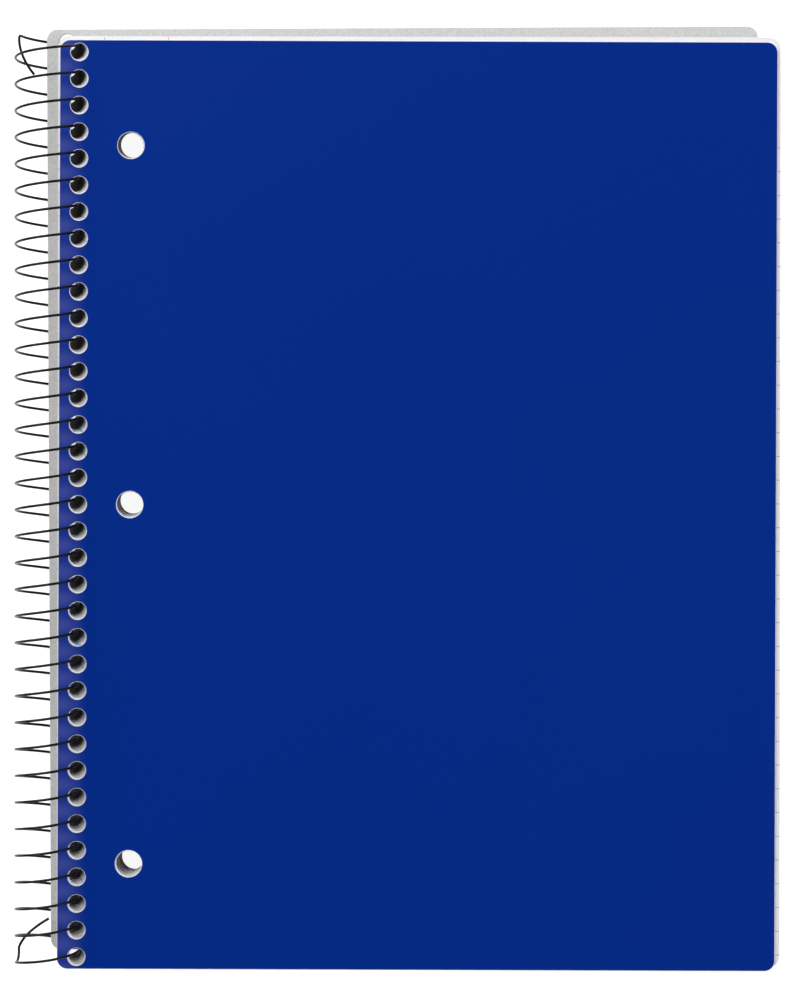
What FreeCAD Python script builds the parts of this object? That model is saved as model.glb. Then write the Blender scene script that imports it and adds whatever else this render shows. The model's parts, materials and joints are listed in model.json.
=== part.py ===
import FreeCAD, Part
import math
import os
import Sketcher

# Spiral notebook of letter size: two covers and a stack of sheets on one wire coil.
# Millimetres, +X from the spine to the open side, +Y to the head of the page, +Z up.
# The origin is the middle of the back cover's underside.

SIZES = {
    # covers and sheets, all of one outline
    "sheet_width": 215.9,
    "sheet_height": 279.4,
    "corner_radius": 3.2,
    "front_thickness": 0.5,
    "pages_thickness": 8.5,
    "back_thickness": 0.9,
    "air_gap": 0.1,
    # coil, measured to the middle of the wire
    "coil_radius": 9.7,
    "coil_drop": 1.8,
    "wire_diameter": 0.8,
    "turns": 35,
    # row of coil holes along the spine, measured across the corners of their many flats
    "coil_hole_diameter": 5.6,
    "coil_hole_inset": 5.9,
    "end_margin": 3.7,
    # three holes for a ring binder
    "ring_hole_diameter": 7.9,
    "ring_hole_inset": 21.5,
    "ring_hole_spacing": 107.95,
    "ring_holes": 3,
    # play on the coil, from the wire to the middle of the hole
    "front_play_x": -0.4,
    "front_play_y": -1.95,
    "back_play_x": 0.0,
    "back_play_y": 0.6,
    "pages_low_play_x": 0.5,
    "pages_low_play_y": -0.6,
    "pages_high_play_x": 0.0,
    "pages_high_play_y": -1.45,
    # trimming of each layer, from a sheet centred on its holes
    "front_trim_x": 0.0,
    "front_trim_y": 0.0,
    "pages_trim_x": 1.1,
    "pages_trim_y": 0.6,
    "back_trim_x": -0.4,
    "back_trim_y": 0.3,
    # turn of each layer on the coil, counterclockwise seen from above
    "front_skew": -0.2,
    "pages_skew": -0.1,
    "back_skew": 0.25,
}

# Shape of the coil: straight pieces in a turn, flats of the wire, bent ends.
PIECES_A_TURN = 12
WIRE_FLATS = 6
HOLE_FLATS = 12
FIRST_ANGLE = -160.0
LAST_ANGLE = 200.0
BEND_CUT = 1.0
HEAD_TAIL = (4.6, -12.0, 0.3)
FOOT_TAIL = (9.0, 13.0, 0.3)

FULL_TURN = 360.0
VOLUME_ALLOWANCE = 1e-6

V = FreeCAD.Vector
wire_radius = SIZES["wire_diameter"] / 2
coil_radius = SIZES["coil_radius"]
turns = SIZES["turns"]
pitch = (SIZES["sheet_height"] - 2 * SIZES["end_margin"]) / (turns - 1)
middle_turn = (turns - 1) / 2

# Heights of the layers, from the underside of the back cover.
pages_bottom = SIZES["back_thickness"] + SIZES["air_gap"]
pages_top = pages_bottom + SIZES["pages_thickness"]
front_bottom = pages_top + SIZES["air_gap"]
axis_height = coil_radius + wire_radius - SIZES["coil_drop"]


def wire_reach(height):
    """Distance of the wire from the coil's axis toward the open side at a height."""
    return math.sqrt(coil_radius ** 2 - (height - axis_height) ** 2)


def wire_angle(height):
    """Angle on the coil at a height, from the open side upward."""
    return math.degrees(math.asin((height - axis_height) / coil_radius))


# The back cover is centred on the origin, the coil follows from its row of holes.
row_x = SIZES["sheet_width"] / 2 - SIZES["coil_hole_inset"] + SIZES["back_trim_x"]
row_y = SIZES["back_trim_y"]
back_turn = math.radians(SIZES["back_skew"])
back_middle = SIZES["back_thickness"] / 2
back_x = -row_x * math.cos(back_turn) + row_y * math.sin(back_turn)
back_y = -row_x * math.sin(back_turn) - row_y * math.cos(back_turn)
axis_x = back_x - SIZES["back_play_x"] - wire_reach(back_middle)


def wire_along(angle):
    """Place of the wire along the spine; the middle turn passes angle zero."""
    return -pitch * angle / FULL_TURN


wire_start = back_y - SIZES["back_play_y"] - wire_along(wire_angle(back_middle))


def hole_place(height, play):
    """Middle of the middle coil hole of a layer at a height."""
    x = axis_x + wire_reach(height) + SIZES[play + "_x"]
    y = wire_start + wire_along(wire_angle(height)) + SIZES[play + "_y"]
    return x, y


front_x, front_y = hole_place(front_bottom + SIZES["front_thickness"] / 2, "front_play")
pages_x, pages_y = hole_place(pages_bottom, "pages_low_play")
high_x, high_y = hole_place(pages_top, "pages_high_play")
lean_x = high_x - pages_x
lean_y = high_y - pages_y
lean_z = SIZES["pages_thickness"]

PLACES = {
    "coil_pitch": pitch,
    "front_x": front_x,
    "front_y": front_y,
    "front_z": front_bottom,
    "pages_x": pages_x,
    "pages_y": pages_y,
    "pages_z": pages_bottom,
    "back_x": back_x,
    "back_y": back_y,
    "back_z": 0.0,
    "lean_x": lean_x,
    "lean_y": lean_y,
    "lean_z": lean_z,
    "lean_length": math.sqrt(lean_x ** 2 + lean_y ** 2 + lean_z ** 2),
}

doc = FreeCAD.newDocument("spiral_notebook")
sheet = doc.addObject("Spreadsheet::Sheet", "sizes")
for row, (name, value) in enumerate({**SIZES, **PLACES}.items(), 1):
    sheet.set("A" + str(row), name)
    sheet.set("B" + str(row), repr(value))
    sheet.setAlias("B" + str(row), name)
doc.recompute()


def new_sketch(body, label):
    """Empty sketch on the body's ground plane."""
    plane = [part for part in body.Origin.OriginFeatures if part.Role == "XY_Plane"][0]
    sketch = body.newObject("Sketcher::SketchObject", label)
    sketch.Label = body.Label + "_" + label
    sketch.AttachmentSupport = [(plane, "")]
    sketch.MapMode = "FlatFace"
    return sketch


def bind(sketch, constraint, name, formula):
    """Adds a sized constraint and ties it to the sheet."""
    number = sketch.addConstraint(constraint)
    sketch.renameConstraint(number, name)
    sketch.setExpression("Constraints." + name, formula)


def outline(body, place):
    """Sheet outline with round corners; the row of coil holes lies on the Y axis."""
    sketch = new_sketch(body, "outline")
    left = SIZES[place + "_trim_x"] - SIZES["coil_hole_inset"]
    right = left + SIZES["sheet_width"]
    foot = SIZES[place + "_trim_y"] - SIZES["sheet_height"] / 2
    head = foot + SIZES["sheet_height"]
    r = SIZES["corner_radius"]
    ends = [
        (V(left + r, foot, 0), V(right - r, foot, 0)),
        (V(right, foot + r, 0), V(right, head - r, 0)),
        (V(right - r, head, 0), V(left + r, head, 0)),
        (V(left, head - r, 0), V(left, foot + r, 0)),
    ]
    centres = [
        V(right - r, foot + r, 0),
        V(right - r, head - r, 0),
        V(left + r, head - r, 0),
        V(left + r, foot + r, 0),
    ]
    starts = [-math.pi / 2, 0.0, math.pi / 2, math.pi]
    lines = [sketch.addGeometry(Part.LineSegment(a, b), False) for a, b in ends]
    arcs = []
    for centre, start in zip(centres, starts):
        arc = Part.ArcOfCircle(Part.Circle(centre, V(0, 0, 1), r), start, start + math.pi / 2)
        arcs.append(sketch.addGeometry(arc, False))
    for number in range(len(lines)):
        following = lines[(number + 1) % len(lines)]
        sketch.addConstraint(Sketcher.Constraint("Tangent", lines[number], 2, arcs[number], 1))
        sketch.addConstraint(Sketcher.Constraint("Tangent", arcs[number], 2, following, 1))
    bottom, far, top, near = lines
    for line in (bottom, top):
        sketch.addConstraint(Sketcher.Constraint("Horizontal", line))
    for line in (far, near):
        sketch.addConstraint(Sketcher.Constraint("Vertical", line))
    for arc in arcs[1:]:
        sketch.addConstraint(Sketcher.Constraint("Equal", arcs[0], arc))
    bind(sketch, Sketcher.Constraint("Radius", arcs[0], r), "corner", "sizes.corner_radius")
    bind(sketch, Sketcher.Constraint("DistanceX", near, 1, -1, 1, -left),
         "inset", "sizes.coil_hole_inset - sizes." + place + "_trim_x")
    bind(sketch, Sketcher.Constraint("DistanceY", bottom, 1, -1, 1, -foot),
         "foot", "sizes.sheet_height / 2 - sizes." + place + "_trim_y")
    bind(sketch, Sketcher.Constraint("DistanceX", near, 1, far, 1, right - left),
         "width", "sizes.sheet_width")
    bind(sketch, Sketcher.Constraint("DistanceY", bottom, 1, top, 1, head - foot),
         "height", "sizes.sheet_height")
    return sketch


def round_hole(sketch, x, y, diameter):
    """Circle for a punched hole."""
    circle = sketch.addGeometry(Part.Circle(V(x, y, 0), V(0, 0, 1), diameter / 2), False)
    return circle


def flat_hole(sketch, x, y, diameter):
    """Many sided hole inside a guide circle, for the long row along the spine."""
    circle = sketch.addGeometry(Part.Circle(V(x, y, 0), V(0, 0, 1), diameter / 2), True)
    step = 2 * math.pi / HOLE_FLATS
    corners = []
    for number in range(HOLE_FLATS):
        turn = number * step
        corners.append(V(x + diameter / 2 * math.cos(turn), y + diameter / 2 * math.sin(turn), 0))
    sides = []
    for number in range(HOLE_FLATS):
        line = Part.LineSegment(corners[number], corners[(number + 1) % HOLE_FLATS])
        sides.append(sketch.addGeometry(line, False))
    for number in range(HOLE_FLATS):
        following = sides[(number + 1) % HOLE_FLATS]
        sketch.addConstraint(Sketcher.Constraint("Coincident", sides[number], 2, following, 1))
        sketch.addConstraint(Sketcher.Constraint("PointOnObject", sides[number], 1, circle))
    for side in sides[1:]:
        sketch.addConstraint(Sketcher.Constraint("Equal", sides[0], side))
    sketch.addConstraint(Sketcher.Constraint("Horizontal", sides[0], 1, circle, 3))
    return circle


def hole_row(body, label, draw, x_name, diameter_name, count_name, spacing_name, spacing):
    """Row of equal holes along the spine, the first one at the foot."""
    inset = SIZES[x_name] - SIZES["coil_hole_inset"]
    span = spacing * (SIZES[count_name] - 1)
    sketch = new_sketch(body, label + "_outline")
    circle = draw(sketch, inset, -span / 2, SIZES[diameter_name])
    if inset:
        bind(sketch, Sketcher.Constraint("DistanceX", -1, 1, circle, 3, inset),
             "inset", "sizes." + x_name + " - sizes.coil_hole_inset")
    else:
        sketch.addConstraint(Sketcher.Constraint("PointOnObject", circle, 3, -2))
    bind(sketch, Sketcher.Constraint("DistanceY", circle, 3, -1, 1, span / 2), "foot",
         "sizes." + spacing_name + " * (sizes." + count_name + " - 1) / 2")
    bind(sketch, Sketcher.Constraint("Diameter", circle, SIZES[diameter_name]),
         "hole", "sizes." + diameter_name)
    pocket = body.newObject("PartDesign::Pocket", label)
    pocket.Label = body.Label + "_" + label
    pocket.Profile = sketch
    set_way(pocket, body.Label)
    row = body.newObject("PartDesign::LinearPattern", label + "_row")
    row.Label = body.Label + "_" + label + "_row"
    row.Originals = [pocket]
    row.Direction = (sketch, ["V_Axis"])
    row.setExpression("Length", "sizes." + spacing_name + " * (sizes." + count_name + " - 1)")
    row.setExpression("Occurrences", "sizes." + count_name)
    body.Tip = row


def set_way(feature, label):
    """Straight up for the covers, along the lean for the stack of sheets."""
    if label == "pages":
        feature.UseCustomVector = True
        feature.AlongSketchNormal = False
        for axis in ("x", "y", "z"):
            feature.setExpression("Direction." + axis, "sizes.lean_" + axis)
        feature.setExpression("Length", "sizes.lean_length")
    else:
        if feature.TypeId == "PartDesign::Pocket":
            feature.Reversed = True
        thickness = "front_thickness" if label == "front_cover" else "back_thickness"
        feature.setExpression("Length", "sizes." + thickness)


def layer(label, place):
    """One cover, or the stack of sheets, punched for the coil and for a ring binder."""
    body = doc.addObject("PartDesign::Body", label)
    body.Label = label
    sketch = outline(body, place)
    pad = body.newObject("PartDesign::Pad", "plate")
    pad.Label = label + "_plate"
    pad.Profile = sketch
    set_way(pad, label)
    hole_row(body, "coil_hole", flat_hole, "coil_hole_inset", "coil_hole_diameter",
             "turns", "coil_pitch", pitch)
    hole_row(body, "ring_hole", round_hole, "ring_hole_inset", "ring_hole_diameter",
             "ring_holes", "ring_hole_spacing", SIZES["ring_hole_spacing"])
    for axis in ("x", "y", "z"):
        body.setExpression("Placement.Base." + axis, "sizes." + place + "_" + axis)
    body.setExpression("Placement.Rotation.Angle", "sizes." + place + "_skew")
    doc.recompute()
    return body


def coil_point(angle):
    """Corner of the coil's route, set out so that corners and middles average out."""
    half_step = math.pi / PIECES_A_TURN
    radius = 2 * coil_radius / (1 + math.cos(half_step))
    turn = math.radians(angle)
    return V(axis_x + radius * math.cos(turn), wire_start + wire_along(angle),
             axis_height + radius * math.sin(turn))


def bent(end, corner, following):
    """The two corners of a sharp bend in the wire."""
    back = (end - corner).normalize()
    ahead = (following - corner).normalize()
    return [corner + back * BEND_CUT, corner + ahead * BEND_CUT]


def coil_route():
    """Points along the wire from its bent end at the head to the one at the foot."""
    first = FIRST_ANGLE - FULL_TURN * middle_turn
    last = LAST_ANGLE + FULL_TURN * middle_turn
    steps = round((last - first) / FULL_TURN * PIECES_A_TURN)
    points = []
    for number in range(steps + 1):
        points.append(coil_point(first + (last - first) * number / steps))
    head = points[0] + V(*HEAD_TAIL)
    foot = points[-1] + V(*FOOT_TAIL)
    head_bend = bent(head, points[0], points[1])
    foot_bend = bent(foot, points[-1], points[-2])
    return [head] + head_bend + points[1:-1] + foot_bend[::-1] + [foot]


def wire_solid(points):
    """Wire of even thickness along straight pieces with mitred corners."""
    ways = [(b - a).normalize() for a, b in zip(points, points[1:])]
    across = ways[0].cross(V(0, 0, 1)).normalize()
    upward = ways[0].cross(across).normalize()
    ring = []
    for number in range(WIRE_FLATS):
        turn = 2 * math.pi * number / WIRE_FLATS
        ring.append(points[0] + across * (wire_radius * math.cos(turn))
                    + upward * (wire_radius * math.sin(turn)))
    rings = [ring]
    for number, point in enumerate(points[1:]):
        way = ways[number]
        mitre = way + ways[number + 1] if number + 1 < len(ways) else way
        rings.append([p + way * ((point - p).dot(mitre) / way.dot(mitre)) for p in rings[-1]])
    faces = [Part.Face(Part.makePolygon(rings[0] + rings[0][:1]))]
    faces.append(Part.Face(Part.makePolygon(rings[-1] + rings[-1][:1])))
    for near, far in zip(rings, rings[1:]):
        for number in range(WIRE_FLATS):
            other = (number + 1) % WIRE_FLATS
            corners = [near[number], near[other], far[other], far[number], near[number]]
            faces.append(Part.Face(Part.makePolygon(corners)))
    shell = Part.makeShell(faces)
    shell.sewShape()
    solid = Part.makeSolid(shell)
    if solid.Volume < 0:
        solid.reverse()
    return solid


front_cover = layer("front_cover", "front")
pages = layer("pages", "pages")
back_cover = layer("back_cover", "back")

# The bent wire is a plain shape, because no sketch feature runs mitred along a coil.
spiral_coil = doc.addObject("Part::Feature", "spiral_coil")
spiral_coil.Label = "spiral_coil"
spiral_coil.Shape = wire_solid(coil_route())
spiral_coil.Placement = FreeCAD.Placement()
doc.recompute()

# Volumes that the drawings give, to show that every hole goes through.
corner_loss = (4 - math.pi) * SIZES["corner_radius"] ** 2
sheet_area = SIZES["sheet_width"] * SIZES["sheet_height"] - corner_loss
ring_area = SIZES["ring_holes"] * math.pi * SIZES["ring_hole_diameter"] ** 2 / 4
hole_radius = SIZES["coil_hole_diameter"] / 2
coil_area = turns * HOLE_FLATS / 2 * hole_radius ** 2 * math.sin(2 * math.pi / HOLE_FLATS)
punched_area = sheet_area - ring_area - coil_area
expected = {
    front_cover: punched_area * SIZES["front_thickness"],
    pages: punched_area * SIZES["pages_thickness"],
    back_cover: punched_area * SIZES["back_thickness"],
}
for item in doc.Objects:
    if "Invalid" in item.State or "Error" in item.State:
        raise ValueError(item.Label + " is in error: " + str(item.State))

for body, volume in expected.items():
    if abs(body.Shape.Volume / volume - 1) > VOLUME_ALLOWANCE:
        raise ValueError(body.Label + " has a wrong volume: " + str(body.Shape.Volume))

os.makedirs("parts", exist_ok=True)
for item in (front_cover, pages, back_cover, spiral_coil):
    shape = item.Shape
    if shape.isNull() or not shape.isValid() or len(shape.Solids) != 1:
        raise ValueError(item.Label + " is not one valid solid")
    shape.exportStep("parts/" + item.Label + ".step")
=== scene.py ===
import json
import math

import bpy
from mathutils import Matrix, Vector
from mathutils.geometry import delaunay_2d_cdt


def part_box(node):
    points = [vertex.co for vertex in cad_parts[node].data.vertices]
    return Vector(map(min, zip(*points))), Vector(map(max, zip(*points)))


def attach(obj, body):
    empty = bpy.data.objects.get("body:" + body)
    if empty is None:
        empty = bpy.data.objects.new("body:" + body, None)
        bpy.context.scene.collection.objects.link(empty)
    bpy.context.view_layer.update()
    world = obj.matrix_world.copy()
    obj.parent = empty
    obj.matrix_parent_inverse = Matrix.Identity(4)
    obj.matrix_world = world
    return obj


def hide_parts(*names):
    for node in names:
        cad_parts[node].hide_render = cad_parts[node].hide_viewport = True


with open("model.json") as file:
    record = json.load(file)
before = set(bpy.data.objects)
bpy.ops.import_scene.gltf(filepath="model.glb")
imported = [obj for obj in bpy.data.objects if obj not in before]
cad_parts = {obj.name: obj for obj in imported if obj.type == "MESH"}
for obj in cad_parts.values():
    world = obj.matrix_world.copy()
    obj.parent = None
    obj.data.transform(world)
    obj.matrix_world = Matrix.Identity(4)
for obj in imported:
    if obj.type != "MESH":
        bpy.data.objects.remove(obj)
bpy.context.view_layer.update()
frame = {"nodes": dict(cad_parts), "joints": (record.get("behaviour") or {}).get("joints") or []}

# Looks of a closed spiral notebook: coated blue cover, ruled sheets, grey board, black wire.
# The frame is in metres. Lengths here are in millimetres, apart from the floor and the lights.

MM = 0.001

# Sheets and covers
SHEET_WIDTH = 215.9
SHEET_HEIGHT = 279.4
CORNER_RADIUS = 3.2
COVER_RIM = 0.18
BOARD_RIM = 0.2

# Turn of each layer on the coil, in degrees
FRONT_SKEW = -0.2
PAGES_SKEW = -0.1
BACK_SKEW = 0.25

# Trimming of each layer, from a sheet centred on its holes
FRONT_TRIM = (0.0, 0.0)
PAGES_TRIM = (1.1, 0.6)
BACK_TRIM = (-0.4, 0.3)

# Punched holes
COIL_HOLE = 5.2
COIL_HOLE_INSET = 5.9
TURNS = 35
PITCH = 8.0
RING_HOLE = 7.9
RING_HOLE_INSET = 21.5
RING_HOLE_SPACING = 107.95

# How far the drill of the ring holes leans to the free edge and the head, for each millimetre down
DRILL_LEAN = Vector((0.03, 0.09))

# Circle round each ring hole of a sheet, outside which no paper moves with the hole
RING_COLLAR = 22.0

# Steps of the round outlines, of a corner, a rim and the coil holes of each layer
CORNER_STEPS = 10
RIM_STEPS = 3
FRONT_HOLE_STEPS = 40
SHEET_HOLE_STEPS = 18
BACK_HOLE_STEPS = 32

# Triangles inside the outline, as the triangulation numbers its ways of working
INSIDE_ONLY = 1
POINT_TOLERANCE = 1e-6
LEVEL_TOLERANCE = 0.01
FLAT_NORMAL = 0.99

# Coil, with the angles at which its wire leaves the first and the last turn
COIL_RADIUS = 9.7
WIRE_RADIUS = 0.4
FIRST_ANGLE = -160.0
LAST_ANGLE = 200.0
POINTS_A_TURN = 40
WIRE_SIDES = 12

# Bent ends of the wire: where each ends, its sideways bow and the cut of its bend
HEAD_TAIL = Vector((4.6, -12.0, 0.3))
FOOT_TAIL = Vector((9.0, 13.0, 0.3))
HEAD_BOW = 1.3
FOOT_BOW = 3.4
BOW_STEPS = 12
HEAD_BEND = 1.2
FOOT_BEND = 4.0
BEND_STEPS = 8

# Stack of sheets, and the share of its room that each sheet fills
SHEETS = 46
SHEET_FILL = 0.96
SHEET_SCATTER = 0.15
SCATTER_SEED = 4

# How far the highest and the lowest sheet lie off the solid stack
STACK_TOP_SHIFT = Vector((-0.48, -0.25, 0.0))
STACK_LOW_SHIFT = Vector((0.06, -1.19, 0.0))

# Ruling of the sheets, from the head of the sheet and from the spine
RULE_SPACING = 7.14
RULE_HALF_WIDTH = 0.13
RULE_START = 33.0
MARGIN_INSET = 31.75
PERFORATION_INSET = 12.5
PERFORATION_HALF_STEP = 1.0
PERFORATION_HALF_GAP = 0.45

# Painted sheen: a paler violet band at the cover's spine, strongest between the holes. Where it
# starts, where it is full, and its strength
BAND_START = 9.0
BAND_FULL = 1.0
BAND_MEAN = 0.5
BAND_SWING = -0.35

# Colours, as linear red, green and blue
BLUE_COLOR = (0.0002, 0.0216, 0.221)
# Painted sheen colour of the band at the cover's spine
PAINTED_SHEEN_BLUE_COLOR = (0.05, 0.07, 0.32)
CORE_COLOR = (0.72, 0.71, 0.76)
INSIDE_COLOR = (0.74, 0.74, 0.73)
BOARD_COLOR = (0.53, 0.53, 0.515)
SHEET_COLOR = (0.74, 0.74, 0.77)
# Painted shade of the cut paper, near black, for the inside of the holes
PAINTED_CUT_SHADE_COLOR = (0.035, 0.022, 0.024)
RULE_COLOR = (0.28, 0.42, 0.68)
MARGIN_COLOR = (0.75, 0.2, 0.28)
PERFORATION_COLOR = (0.35, 0.35, 0.36)
WIRE_COLOR = (0.003, 0.003, 0.0035)
TABLE_COLOR = (0.36, 0.36, 0.36)
ROOM_COLOR = (0.9, 0.95, 1.0)

# Strength of the painted shade on the cut paper at a sheet's outer edge, where one is its strength
# in a hole
EDGE_SHADE = 0.12

# Mottling and grain that all finishes share
MOTTLE_DETAIL = 4.0
NOISE_MIDDLE = 0.5
GRAIN_DEPTH = 0.05
PAPER_GRAIN_SCALE = 2600.0

# Camera over the cover, its axis a little toward the head
CAMERA_HEIGHT = 890.0
CAMERA_SIDE = -5.2
CAMERA_HEADWARD = 28.1
CAMERA_LENS = 106.6
SENSOR = 36.0
CAMERA_SHIFT = -0.088

# Floor and dim room
FLOOR_SIZE = 30.0
TABLE_WHITE = 0.92
ROOM_LIGHT = 0.1


def node_points(node, highest):
    """Corners of a CAD node that lie at its highest or lowest level."""
    points = [v.co for v in frame["nodes"][node].data.vertices]
    level = max(p.z for p in points) if highest else min(p.z for p in points)
    return [p for p in points if abs(p.z - level) < LEVEL_TOLERANCE * MM]


def middle(node, highest):
    """Middle of a CAD layer at its top or its underside, in millimetres."""
    points = node_points(node, highest)
    x = (max(p.x for p in points) + min(p.x for p in points)) / 2
    y = (max(p.y for p in points) + min(p.y for p in points)) / 2
    return Vector((x, y, points[0].z)) / MM


def circle_loop(x, y, diameter, steps):
    """Points of a round hole, clockwise, so that its wall faces inward."""
    return [(x + diameter / 2 * math.cos(2 * math.pi * n / steps),
             y - diameter / 2 * math.sin(2 * math.pi * n / steps)) for n in range(steps)]


def outline_loop(inset):
    """Points of the sheet's outline with its four round corners, drawn in by an inset."""
    points = []
    r = CORNER_RADIUS - inset
    for corner, (sx, sy) in enumerate(((1, 1), (-1, 1), (-1, -1), (1, -1))):
        cx = sx * (SHEET_WIDTH / 2 - CORNER_RADIUS)
        cy = sy * (SHEET_HEIGHT / 2 - CORNER_RADIUS)
        for n in range(CORNER_STEPS + 1):
            turn = math.pi / 2 * (corner + n / CORNER_STEPS)
            points.append((cx + r * math.cos(turn), cy + r * math.sin(turn)))
    return points


def ring_middle(trim):
    """Middle ring hole in a layer's own row, from the middle of its outline."""
    return Vector((-SHEET_WIDTH / 2 - trim[0] + RING_HOLE_INSET, -trim[1]))


def drill_place(height):
    """Where the drill for the middle ring hole passes a height, in the frame's millimetres."""
    top = middle("front_cover", True)
    turn = Matrix.Rotation(math.radians(FRONT_SKEW), 2)
    return top.xy + turn @ ring_middle(FRONT_TRIM) + DRILL_LEAN * (top.z - height)


def ring_shift(at, skew, trim):
    """How far the drill passes from a layer's own row, at the layer's place and height."""
    turn = Matrix.Rotation(math.radians(-skew), 2)
    return turn @ (drill_place(at.z) - at.xy) - ring_middle(trim)


def hole_places(trim, shift):
    """Middle and diameter of every hole of a layer, about the middle of its outline."""
    spine = -SHEET_WIDTH / 2 - trim[0]
    places = []
    for n in range(TURNS):
        y = PITCH * (n - (TURNS - 1) / 2) - trim[1]
        places.append((spine + COIL_HOLE_INSET, y, COIL_HOLE))
    ring = ring_middle(trim) + shift
    for n in (-1, 0, 1):
        places.append((ring.x, ring.y + n * RING_HOLE_SPACING, RING_HOLE))
    return places


def punched_loops(places, inset, hole_steps, collars):
    """Outline and all holes of one layer, every edge drawn back by an inset.

    Collars are circles of points round the ring holes, for holes that are moved later."""
    loops = [outline_loop(inset)]
    for x, y, diameter in places:
        steps = hole_steps if diameter == COIL_HOLE else 2 * hole_steps
        loops.append(circle_loop(x, y, diameter + 2 * inset, steps))
    if collars:
        loops += [circle_loop(x, y, RING_COLLAR, 2 * hole_steps)
                  for x, y, diameter in places if diameter == RING_HOLE]
    return loops


def flat_faces(loops, places, inset):
    """Triangles of the flat side of a layer, holes left out with the inset round them."""
    points = [Vector(p) for loop in loops for p in loop]
    edges = []
    start = 0
    for loop in loops:
        for n in range(len(loop)):
            edges.append((start + n, start + (n + 1) % len(loop)))
        start += len(loop)
    made, _, faces, origins, _, _ = delaunay_2d_cdt(points, edges, [], INSIDE_ONLY, POINT_TOLERANCE)
    kept = []
    for face in faces:
        center = sum((made[n] for n in face), Vector((0, 0))) / len(face)
        if all((center - Vector((x, y))).length > d / 2 + inset for x, y, d in places):
            kept.append([origins[n][0] for n in face])
    return kept


def edge_profile(thickness, rim):
    """Inset and height of each ring from the upper flat side round to the lower one."""
    if not rim:
        return [(0, thickness), (0, 0)]
    upper = []
    for n in range(RIM_STEPS + 1):
        turn = math.pi / 2 * n / RIM_STEPS
        upper.append((rim * (1 - math.sin(turn)), rim * (1 - math.cos(turn))))
    return [(inset, thickness - drop) for inset, drop in upper] + upper[::-1]


def punched_plate(name, trim, thickness, rim, hole_steps, shift=Vector((0, 0)), collars=False):
    """Flat punched plate from height zero up, its edges rounded by the rim.

    The face attribute cut, the strength of the painted shade on the cut faces, is one in the holes
    and lower on the outer edge. The point attribute ring_wall is one on the walls of the ring
    holes."""
    places = hole_places(trim, shift)
    profile = edge_profile(thickness, rim)
    rings = [(punched_loops(places, inset, hole_steps, collars), height)
             for inset, height in profile]
    points = [(x, y, height) for loops, height in rings for loop in loops for x, y in loop]
    count = len(points) // len(rings)
    flat = flat_faces(rings[0][0], places, profile[0][0])
    faces = [list(f) for f in flat]
    last = count * (len(rings) - 1)
    faces += [[last + n for n in reversed(f)] for f in flat]
    cut = [0.0] * len(faces)
    for level in range(len(rings) - 1):
        start = level * count
        for number, loop in enumerate(rings[0][0][:len(places) + 1]):
            for n in range(len(loop)):
                a = start + n
                b = start + (n + 1) % len(loop)
                faces.append([a, a + count, b + count, b])
                # Painted shade on the cut faces: full in a hole, weaker on the outer edge
                cut.append(1.0 if number else EDGE_SHADE)
            start += len(loop)
    mesh = bpy.data.meshes.new(name)
    mesh.from_pydata(points, [], faces)
    mesh.attributes.new("cut", "FLOAT", "FACE").data.foreach_set("value", cut)
    ring_loops = range(1 + TURNS, 1 + len(places))
    wall = [float(number in ring_loops) for loops, _ in rings
            for number, loop in enumerate(loops) for _ in loop]
    mesh.attributes.new("ring_wall", "FLOAT", "POINT").data.foreach_set("value", wall)
    return mesh


def in_place(mesh, at, skew):
    """Sets a mesh made in millimetres at its place in the frame, in metres."""
    turn = Matrix.Rotation(math.radians(skew), 4, "Z")
    mesh.transform(Matrix.Scale(MM, 4) @ Matrix.Translation(at) @ turn)
    return mesh


def new_object(name, mesh):
    """Puts a mesh into the scene as an object at the origin."""
    obj = bpy.data.objects.new(name, mesh)
    bpy.context.scene.collection.objects.link(obj)
    return obj


def link(tree, a, b):
    """Joins an output of one node to an input of another."""
    tree.links.new(a, b)


def math_node(tree, operation, *values):
    """Maths node whose inputs are sockets or numbers; returns its output."""
    node = tree.nodes.new("ShaderNodeMath")
    node.operation = operation
    for number, value in enumerate(values):
        if isinstance(value, (int, float)):
            node.inputs[number].default_value = value
        else:
            link(tree, value, node.inputs[number])
    return node.outputs[0]


def mixed(tree, amount, color, other):
    """Mixes a colour toward another by an amount; returns the output."""
    mix = tree.nodes.new("ShaderNodeMix")
    mix.data_type = "RGBA"
    link(tree, amount, mix.inputs["Factor"])
    link(tree, color, mix.inputs["A"])
    mix.inputs["B"].default_value = (*other, 1)
    return mix.outputs["Result"]


def parted(tree, vector):
    """X and Y of a vector."""
    split = tree.nodes.new("ShaderNodeSeparateXYZ")
    link(tree, vector, split.inputs[0])
    return split.outputs["X"], split.outputs["Y"]


def attribute(tree, name):
    """Node that reads an attribute of the mesh."""
    node = tree.nodes.new("ShaderNodeAttribute")
    node.attribute_name = name
    return node


def object_place(tree):
    """The object's own coordinates."""
    return tree.nodes.new("ShaderNodeTexCoord").outputs["Object"]


def new_material(name):
    """Node material that holds only its shader."""
    material = bpy.data.materials.new(name)
    material.use_nodes = True
    tree = material.node_tree
    tree.nodes.clear()
    output = tree.nodes.new("ShaderNodeOutputMaterial")
    shader = tree.nodes.new("ShaderNodeBsdfPrincipled")
    link(tree, shader.outputs["BSDF"], output.inputs["Surface"])
    return material, tree, shader


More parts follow.
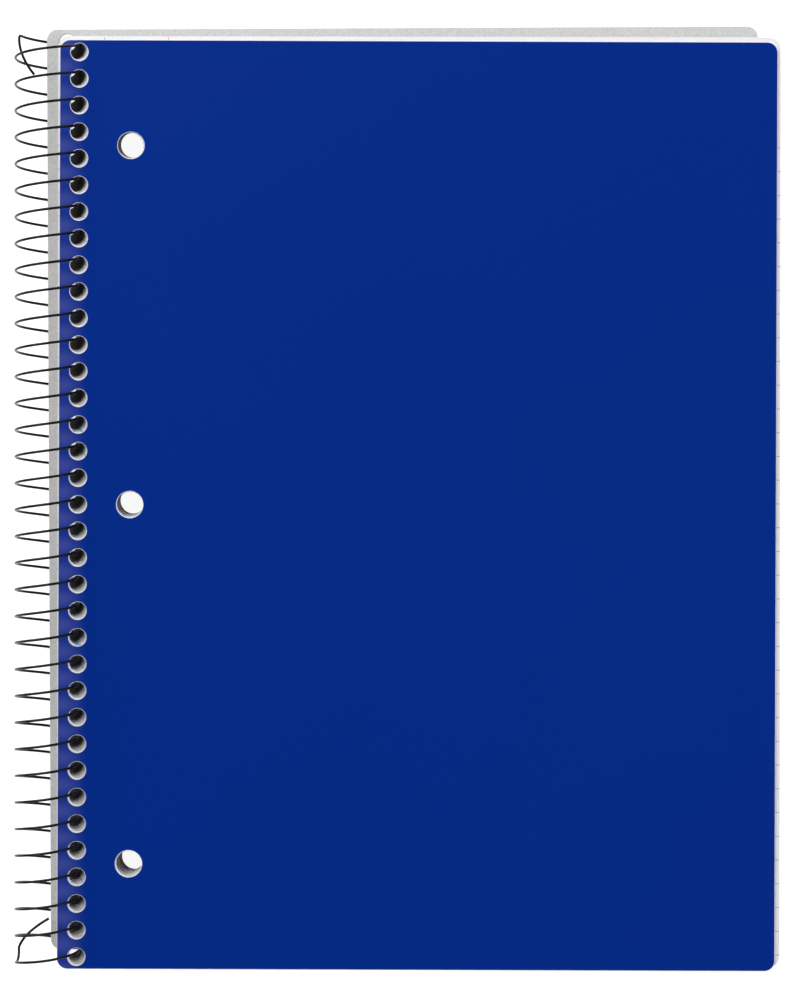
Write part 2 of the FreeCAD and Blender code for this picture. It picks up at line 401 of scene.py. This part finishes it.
def mottle_group():
    """Node group: a colour with slow mottling and a fine grained normal."""
    group = bpy.data.node_groups.new("Mottled surface", "ShaderNodeTree")
    face = group.interface
    face.new_socket("Place", in_out="INPUT", socket_type="NodeSocketVector")
    for name in ("Patch Scale", "Patch Depth", "Grain Scale", "Grain Height"):
        face.new_socket(name, in_out="INPUT", socket_type="NodeSocketFloat")
    face.new_socket("Color", in_out="INPUT", socket_type="NodeSocketColor")
    face.new_socket("Color", in_out="OUTPUT", socket_type="NodeSocketColor")
    face.new_socket("Normal", in_out="OUTPUT", socket_type="NodeSocketVector")
    nodes = group.nodes
    source = nodes.new("NodeGroupInput")
    result = nodes.new("NodeGroupOutput")
    patches = nodes.new("ShaderNodeTexNoise")
    patches.inputs["Detail"].default_value = MOTTLE_DETAIL
    link(group, source.outputs["Place"], patches.inputs["Vector"])
    link(group, source.outputs["Patch Scale"], patches.inputs["Scale"])
    shade = math_node(group, "SUBTRACT", patches.outputs["Fac"], NOISE_MIDDLE)
    depth = math_node(group, "MULTIPLY_ADD", shade, source.outputs["Patch Depth"], 1.0)
    tint = nodes.new("ShaderNodeVectorMath")
    tint.operation = "SCALE"
    link(group, source.outputs["Color"], tint.inputs[0])
    link(group, depth, tint.inputs["Scale"])
    link(group, tint.outputs[0], result.inputs["Color"])
    grain = nodes.new("ShaderNodeTexNoise")
    link(group, source.outputs["Place"], grain.inputs["Vector"])
    link(group, source.outputs["Grain Scale"], grain.inputs["Scale"])
    bump = nodes.new("ShaderNodeBump")
    bump.inputs["Distance"].default_value = GRAIN_DEPTH * MM
    link(group, grain.outputs["Fac"], bump.inputs["Height"])
    link(group, source.outputs["Grain Height"], bump.inputs["Strength"])
    link(group, bump.outputs["Normal"], result.inputs["Normal"])
    return group


MOTTLE = mottle_group()


def mottled(tree, shader, place, color, patch_scale, patch_depth, grain_scale, grain_height):
    """Gives a shader the mottled surface; returns its colour."""
    node = tree.nodes.new("ShaderNodeGroup")
    node.node_tree = MOTTLE
    link(tree, place, node.inputs["Place"])
    node.inputs["Color"].default_value = (*color, 1)
    node.inputs["Patch Scale"].default_value = patch_scale
    node.inputs["Patch Depth"].default_value = patch_depth
    node.inputs["Grain Scale"].default_value = grain_scale
    node.inputs["Grain Height"].default_value = grain_height
    link(tree, node.outputs["Color"], shader.inputs["Base Color"])
    link(tree, node.outputs["Normal"], shader.inputs["Normal"])
    return node.outputs["Color"]


def shine(shader, roughness, specular):
    """Sets how rough a finish is and how much it reflects."""
    shader.inputs["Roughness"].default_value = roughness
    shader.inputs["Specular IOR Level"].default_value = specular


def plain_paper(name, color, roughness, grain_height, speck_scale=60.0, speck_depth=0.12):
    """Unprinted card or board with specks and a fine grain."""
    material, tree, shader = new_material(name)
    mottled(tree, shader, object_place(tree), color, patch_scale=speck_scale,
            patch_depth=speck_depth, grain_scale=PAPER_GRAIN_SCALE, grain_height=grain_height)
    shine(shader, roughness, specular=0.25)
    return material


def coated_blue():
    """Glossy blue coating, with a painted sheen: a paler violet band along the spine, strongest
    between the holes.
    """
    material, tree, shader = new_material("Coated blue card")
    place = object_place(tree)
    color = mottled(tree, shader, place, BLUE_COLOR, patch_scale=9.0, patch_depth=0.1,
                    grain_scale=900.0, grain_height=0.04)
    x, y = parted(tree, place)
    cover = middle("front_cover", True)
    edge = cover.x - SHEET_WIDTH / 2
    band = tree.nodes.new("ShaderNodeMapRange")
    band.interpolation_type = "SMOOTHSTEP"
    link(tree, math_node(tree, "SUBTRACT", x, edge * MM), band.inputs["Value"])
    band.inputs["From Min"].default_value = BAND_START * MM
    band.inputs["From Max"].default_value = BAND_FULL * MM
    along = math_node(tree, "MULTIPLY", y, 2 * math.pi / (PITCH * MM))
    phase = cover.y * 2 * math.pi / PITCH
    wave = math_node(tree, "COSINE", math_node(tree, "SUBTRACT", along, phase))
    between = math_node(tree, "MULTIPLY_ADD", wave, BAND_SWING, BAND_MEAN)
    amount = math_node(tree, "MULTIPLY", band.outputs["Result"], between)
    # Painted sheen: mixes the blue toward a paler violet along the spine, most between the holes
    link(tree, mixed(tree, amount, color, PAINTED_SHEEN_BLUE_COLOR), shader.inputs["Base Color"])
    shine(shader, roughness=0.24, specular=0.12)
    shader.inputs["Coat Weight"].default_value = 0.12
    shader.inputs["Coat Roughness"].default_value = 0.1
    return material


def near_line(tree, value, at, half_width):
    """Mask that is one where a coordinate lies within half a width of a line."""
    away = math_node(tree, "ABSOLUTE", math_node(tree, "SUBTRACT", value, at))
    return math_node(tree, "LESS_THAN", away, half_width)


def rule_mask(tree, y):
    """Mask of the sheet's rules, from the first one down."""
    down = math_node(tree, "SUBTRACT", (SHEET_HEIGHT / 2 - RULE_START) * MM, y)
    step = math_node(tree, "PINGPONG", down, RULE_SPACING / 2 * MM)
    rule = math_node(tree, "LESS_THAN", step, RULE_HALF_WIDTH * MM)
    below = math_node(tree, "GREATER_THAN", down, -RULE_HALF_WIDTH * MM)
    return math_node(tree, "MULTIPLY", rule, below)


def perforation_mask(tree, x, y, spine):
    """Mask of the dashes along which a sheet tears off."""
    line = near_line(tree, x, (spine + PERFORATION_INSET) * MM, RULE_HALF_WIDTH * MM)
    step = math_node(tree, "PINGPONG", y, PERFORATION_HALF_STEP * MM)
    dash = math_node(tree, "GREATER_THAN", step, PERFORATION_HALF_GAP * MM)
    return math_node(tree, "MULTIPLY", line, dash)


def ruled_paper():
    """White sheet with blue rules, a red margin line, a perforation and painted shade on its cuts,
    near black in the holes.
    """
    material, tree, shader = new_material("Ruled paper")
    place = attribute(tree, "sheet_place").outputs["Vector"]
    color = mottled(tree, shader, place, SHEET_COLOR, patch_scale=60.0, patch_depth=0.06,
                    grain_scale=PAPER_GRAIN_SCALE, grain_height=0.1)
    x, y = parted(tree, place)
    spine = -SHEET_WIDTH / 2
    margin = near_line(tree, x, (spine + MARGIN_INSET) * MM, RULE_HALF_WIDTH * MM)
    color = mixed(tree, rule_mask(tree, y), color, RULE_COLOR)
    color = mixed(tree, margin, color, MARGIN_COLOR)
    color = mixed(tree, perforation_mask(tree, x, y, spine), color, PERFORATION_COLOR)
    # Painted shade: the cut faces are mixed toward near black, fully in the holes and a little at
    # the outer edge
    color = mixed(tree, attribute(tree, "cut").outputs["Fac"], color, PAINTED_CUT_SHADE_COLOR)
    link(tree, color, shader.inputs["Base Color"])
    shine(shader, roughness=0.75, specular=0.2)
    return material


def black_wire():
    """Glossy black coating of the wire."""
    material, tree, shader = new_material("Black coated wire")
    mottled(tree, shader, object_place(tree), WIRE_COLOR, patch_scale=120.0, patch_depth=0.3,
            grain_scale=3000.0, grain_height=0.05)
    shine(shader, roughness=0.22, specular=0.22)
    return material


def pale_table():
    """Pale matt table that the camera and reflections see as nearly white."""
    material, tree, shader = new_material("Pale table")
    mottled(tree, shader, object_place(tree), TABLE_COLOR, patch_scale=3.0, patch_depth=0.01,
            grain_scale=400.0, grain_height=0.01)
    shine(shader, roughness=0.9, specular=0.0)
    ray = tree.nodes.new("ShaderNodeLightPath")
    seen = math_node(tree, "MAXIMUM", ray.outputs["Is Camera Ray"], ray.outputs["Is Glossy Ray"])
    seen = math_node(tree, "MAXIMUM", seen, ray.outputs["Is Transmission Ray"])
    shader.inputs["Emission Color"].default_value = (1, 1, 1, 1)
    link(tree, math_node(tree, "MULTIPLY", seen, TABLE_WHITE), shader.inputs["Emission Strength"])
    return material


BLUE = coated_blue()
CARD_CORE = plain_paper("White card core", CORE_COLOR, roughness=0.8, grain_height=0.15)
CARD_INSIDE = plain_paper("White card inside", INSIDE_COLOR, roughness=0.7, grain_height=0.1,
                          speck_scale=40.0, speck_depth=0.05)
BOARD = plain_paper("Grey board", BOARD_COLOR, roughness=0.85, grain_height=0.35,
                    speck_scale=1400.0, speck_depth=0.5)
RULED = ruled_paper()
WIRE = black_wire()


def front_cover():
    """Thin coated card: blue on the outside, white inside and at every cut."""
    low = middle("front_cover", False)
    thickness = middle("front_cover", True).z - low.z
    mesh = punched_plate("blue_cover", FRONT_TRIM, thickness, COVER_RIM, FRONT_HOLE_STEPS)
    for material in (BLUE, CARD_CORE, CARD_INSIDE):
        mesh.materials.append(material)
    for face in mesh.polygons:
        if face.normal.z > FLAT_NORMAL:
            face.material_index = 0
        elif face.normal.z > -FLAT_NORMAL:
            face.material_index = 1
        else:
            face.material_index = 2
    return new_object("blue_cover", in_place(mesh, low, FRONT_SKEW))


def back_cover():
    """Plain grey board."""
    low = middle("back_cover", False)
    thickness = middle("back_cover", True).z - low.z
    mesh = punched_plate("grey_back", BACK_TRIM, thickness, BOARD_RIM, BACK_HOLE_STEPS,
                         ring_shift(low, BACK_SKEW, BACK_TRIM))
    mesh.materials.append(BOARD)
    return new_object("grey_back", in_place(mesh, low, BACK_SKEW))


def geometry_group(name, sockets):
    """Empty geometry node group with its named inputs and the geometry going in and out."""
    group = bpy.data.node_groups.new(name, "GeometryNodeTree")
    face = group.interface
    face.new_socket("Geometry", in_out="INPUT", socket_type="NodeSocketGeometry")
    face.new_socket("Geometry", in_out="OUTPUT", socket_type="NodeSocketGeometry")
    for label, kind in sockets:
        face.new_socket(label, in_out="INPUT", socket_type="NodeSocket" + kind)
    return group, group.nodes.new("NodeGroupInput"), group.nodes.new("NodeGroupOutput")


def finish_group(group, geometry, source, result):
    """Ends a geometry node group: real meshes with their material."""
    real = group.nodes.new("GeometryNodeRealizeInstances")
    paint = group.nodes.new("GeometryNodeSetMaterial")
    link(group, geometry, real.inputs[0])
    link(group, real.outputs[0], paint.inputs["Geometry"])
    link(group, source.outputs["Material"], paint.inputs["Material"])
    link(group, paint.outputs[0], result.inputs["Geometry"])


def stack_group():
    """Node group: one sheet repeated into a leaning, slightly uneven stack."""
    group, source, result = geometry_group("Sheet stack", (
        ("Count", "Int"), ("Step", "Vector"), ("Scatter", "Vector"), ("Seed", "Int"),
        ("Material", "Material")))
    nodes = group.nodes
    store = nodes.new("GeometryNodeStoreNamedAttribute")
    store.data_type = "FLOAT_VECTOR"
    store.domain = "POINT"
    store.inputs["Name"].default_value = "sheet_place"
    place = nodes.new("GeometryNodeInputPosition")
    link(group, source.outputs["Geometry"], store.inputs["Geometry"])
    link(group, place.outputs[0], store.inputs["Value"])
    line = nodes.new("GeometryNodeMeshLine")
    link(group, source.outputs["Count"], line.inputs["Count"])
    link(group, source.outputs["Step"], line.inputs["Offset"])
    uneven = nodes.new("FunctionNodeRandomValue")
    uneven.data_type = "FLOAT_VECTOR"
    least = nodes.new("ShaderNodeVectorMath")
    least.operation = "SCALE"
    least.inputs["Scale"].default_value = -1.0
    link(group, source.outputs["Scatter"], least.inputs[0])
    link(group, least.outputs[0], uneven.inputs["Min"])
    link(group, source.outputs["Scatter"], uneven.inputs["Max"])
    link(group, source.outputs["Seed"], uneven.inputs["Seed"])
    shift = nodes.new("GeometryNodeSetPosition")
    link(group, line.outputs[0], shift.inputs["Geometry"])
    link(group, uneven.outputs["Value"], shift.inputs["Offset"])
    repeat = nodes.new("GeometryNodeInstanceOnPoints")
    link(group, shift.outputs[0], repeat.inputs["Points"])
    link(group, store.outputs[0], repeat.inputs["Instance"])
    finish_group(group, repeat.outputs[0], source, result)
    return group


def wire_group():
    """Node group: a round wire with closed ends along a path of edges."""
    group, source, result = geometry_group("Round wire", (
        ("Radius", "Float"), ("Sides", "Int"), ("Material", "Material")))
    nodes = group.nodes
    path = nodes.new("GeometryNodeMeshToCurve")
    link(group, source.outputs["Geometry"], path.inputs["Mesh"])
    section = nodes.new("GeometryNodeCurvePrimitiveCircle")
    link(group, source.outputs["Sides"], section.inputs["Resolution"])
    link(group, source.outputs["Radius"], section.inputs["Radius"])
    sweep = nodes.new("GeometryNodeCurveToMesh")
    sweep.inputs["Fill Caps"].default_value = True
    link(group, path.outputs[0], sweep.inputs["Curve"])
    link(group, section.outputs[0], sweep.inputs["Profile Curve"])
    finish_group(group, sweep.outputs[0], source, result)
    return group


def through_group(name, mesh, group, values):
    """Runs a mesh through a node group and returns the finished object."""
    carrier = new_object(name + "_start", mesh)
    modifier = carrier.modifiers.new(name, "NODES")
    modifier.node_group = group
    for item in group.interface.items_tree:
        if item.in_out == "INPUT" and item.name in values:
            modifier[item.identifier] = values[item.name]
    bpy.context.view_layer.update()
    graph = bpy.context.evaluated_depsgraph_get()
    made = bpy.data.meshes.new_from_object(carrier.evaluated_get(graph))
    carrier.modifiers.remove(modifier)
    bpy.data.objects.remove(carrier)
    made.name = name
    return new_object(name, made)


def drill_stack(mesh, low_shift, high_shift, room):
    """Moves the ring holes' walls in every sheet of the stack onto the drill's line."""
    wall = mesh.attributes["ring_wall"].data
    sheet_place = mesh.attributes["sheet_place"].data
    for number, vertex in enumerate(mesh.vertices):
        if wall[number].value == 1.0:
            shift = low_shift.lerp(high_shift, vertex.co.z / room).to_3d()
            vertex.co += shift
            sheet_place[number].vector = Vector(sheet_place[number].vector) + shift


def pages():
    """Stack of ruled sheets, each a little out of line with the next."""
    low = middle("pages", False) + STACK_LOW_SHIFT
    high = middle("pages", True) + STACK_TOP_SHIFT
    room = high.z - low.z
    thickness = room / SHEETS * SHEET_FILL
    step = (high - low - Vector((0, 0, thickness))) / (SHEETS - 1)
    mesh = punched_plate("sheet", PAGES_TRIM, thickness, 0, SHEET_HOLE_STEPS, collars=True)
    mesh.transform(Matrix.Scale(MM, 4))
    stack = through_group("sheet_stack", mesh, stack_group(), {
        "Count": SHEETS, "Step": step * MM, "Scatter": Vector((1, 1, 0)) * SHEET_SCATTER * MM,
        "Seed": SCATTER_SEED, "Material": RULED})
    drill_stack(stack.data, ring_shift(low, PAGES_SKEW, PAGES_TRIM) * MM,
                ring_shift(high, PAGES_SKEW, PAGES_TRIM) * MM, room * MM)
    turn = Matrix.Rotation(math.radians(PAGES_SKEW), 4, "Z")
    stack.data.transform(Matrix.Translation(low * MM) @ turn)
    return stack


def coil_axis():
    """Point on the coil's axis where the wire would pass angle zero, in millimetres."""
    hinge = [j for j in frame["joints"] if j["name"] == "front_cover_hinge"][0]
    axis = Vector(hinge["pos_m"]) / MM
    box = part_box("spiral_coil")
    ends = (FIRST_ANGLE + LAST_ANGLE) / 2
    axis.y = (box[0].y + box[1].y) / 2 / MM + PITCH * ends / 360
    return axis


def rounded_bend(before, corner, after, cut):
    """Points of a soft bend that starts and ends a cut's length from the wire's corner."""
    first = corner + (before - corner).normalized() * cut
    last = corner + (after - corner).normalized() * cut
    points = []
    for n in range(BEND_STEPS + 1):
        f = n / BEND_STEPS
        points.append(first * (1 - f) ** 2 + corner * 2 * f * (1 - f) + last * f ** 2)
    return points


def bowed(start, end, bow):
    """Points between two ends of a tail, bowed sideways; the end itself is left out."""
    points = []
    for n in range(BOW_STEPS):
        f = n / BOW_STEPS
        points.append(start.lerp(end, f) + bow * 4 * f * (1 - f))
    return points


def coil_path():
    """Points along the wire from its bent end at the head to the one at the foot."""
    axis = coil_axis()
    half = 360 * (TURNS - 1) / 2
    first = FIRST_ANGLE - half
    last = LAST_ANGLE + half
    steps = round((last - first) / 360 * POINTS_A_TURN)
    turns = []
    for n in range(steps + 1):
        angle = first + (last - first) * n / steps
        turn = math.radians(angle)
        turns.append(axis + Vector((COIL_RADIUS * math.cos(turn), -PITCH * angle / 360,
                                    COIL_RADIUS * math.sin(turn))))
    head = turns[0] + HEAD_TAIL
    foot = turns[-1] + FOOT_TAIL
    arc = math.radians(360 / POINTS_A_TURN) * COIL_RADIUS
    start = bowed(head, turns[0], Vector((-HEAD_BOW, 0, 0)))
    end = bowed(foot, turns[-1], Vector((-FOOT_BOW, 0, 0)))
    near = math.ceil(HEAD_BEND / arc)
    far = math.ceil(FOOT_BEND / arc)
    start = [p for p in start if (p - turns[0]).length > HEAD_BEND]
    end = [p for p in end if (p - turns[-1]).length > FOOT_BEND]
    path = start + rounded_bend(start[-1], turns[0], turns[near], HEAD_BEND)
    path += turns[near + 1:-far - 1]
    path += rounded_bend(turns[-far - 1], turns[-1], end[-1], FOOT_BEND) + end[::-1]
    return path


def spiral_coil():
    """Black wire coil with its two ends bent inward."""
    path = coil_path()
    mesh = bpy.data.meshes.new("coil path")
    mesh.from_pydata([p * MM for p in path], [(n, n + 1) for n in range(len(path) - 1)], [])
    coil = through_group("black_coil", mesh, wire_group(), {
        "Radius": WIRE_RADIUS * MM, "Sides": WIRE_SIDES, "Material": WIRE})
    for face in coil.data.polygons:
        face.use_smooth = len(face.vertices) == 4
    return coil


def floor():
    """Pale table that the coil and the far edge of the back cover touch."""
    axis = coil_axis()
    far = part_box("back_cover")[1].x / MM
    reach = far - axis.x
    tilt = math.asin((COIL_RADIUS + WIRE_RADIUS - axis.z) / reach)
    bpy.ops.mesh.primitive_plane_add(size=FLOOR_SIZE)
    plane = bpy.context.object
    plane.name = "table"
    turn = Matrix.Rotation(-tilt, 4, "Y")
    plane.data.transform(Matrix.Translation((far * MM, 0, 0)) @ turn)
    plane.data.materials.append(pale_table())


def sun(name, strength, softness, tilt, turn):
    """Soft far light; tilt from straight down, turn about the vertical from +X."""
    data = bpy.data.lights.new(name, "SUN")
    data.energy = strength
    data.angle = math.radians(softness)
    obj = new_object(name, data)
    obj.rotation_euler = (0, math.radians(tilt), math.radians(turn))


def panel(name, power, size, away, tilt, turn):
    """Large near light that faces the notebook; tilt and turn as a far light's."""
    data = bpy.data.lights.new(name, "AREA")
    data.energy = power
    data.size = size
    obj = new_object(name, data)
    obj.rotation_euler = (0, math.radians(tilt), math.radians(turn))
    obj.location = obj.rotation_euler.to_matrix() @ Vector((0, 0, away))
    obj.visible_camera = False


def lights():
    """A near panel at the head left, a far light at the right and a dim room."""
    panel("head left panel", power=98.0, size=2.8, away=2.4, tilt=53, turn=125)
    sun("right light", strength=1.25, softness=60, tilt=50, turn=-10)
    world = bpy.data.worlds.new("dim room")
    world.use_nodes = True
    back = world.node_tree.nodes["Background"]
    back.inputs["Color"].default_value = (*ROOM_COLOR, 1)
    back.inputs["Strength"].default_value = ROOM_LIGHT
    bpy.context.scene.world = world


def camera():
    """Camera straight above the cover."""
    top = middle("front_cover", True)
    data = bpy.data.cameras.new("camera")
    data.sensor_fit = "VERTICAL"
    data.sensor_height = SENSOR
    data.lens = CAMERA_LENS
    data.shift_y = CAMERA_SHIFT
    obj = new_object("camera", data)
    obj.location = (top + Vector((CAMERA_SIDE, CAMERA_HEADWARD, CAMERA_HEIGHT))) * MM
    bpy.context.scene.camera = obj


for piece, body, node, slot in (
        (front_cover(), "front", "front_cover", "front_cover"),
        (back_cover(), "back", "back_cover", "back_cover"),
        (pages(), "block", "pages", "pages"),
        (spiral_coil(), "block", "spiral_coil", "coil")):
    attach(piece, body)
    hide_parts(node)

floor()
lights()
camera()
bpy.context.scene.view_settings.view_transform = "Standard"
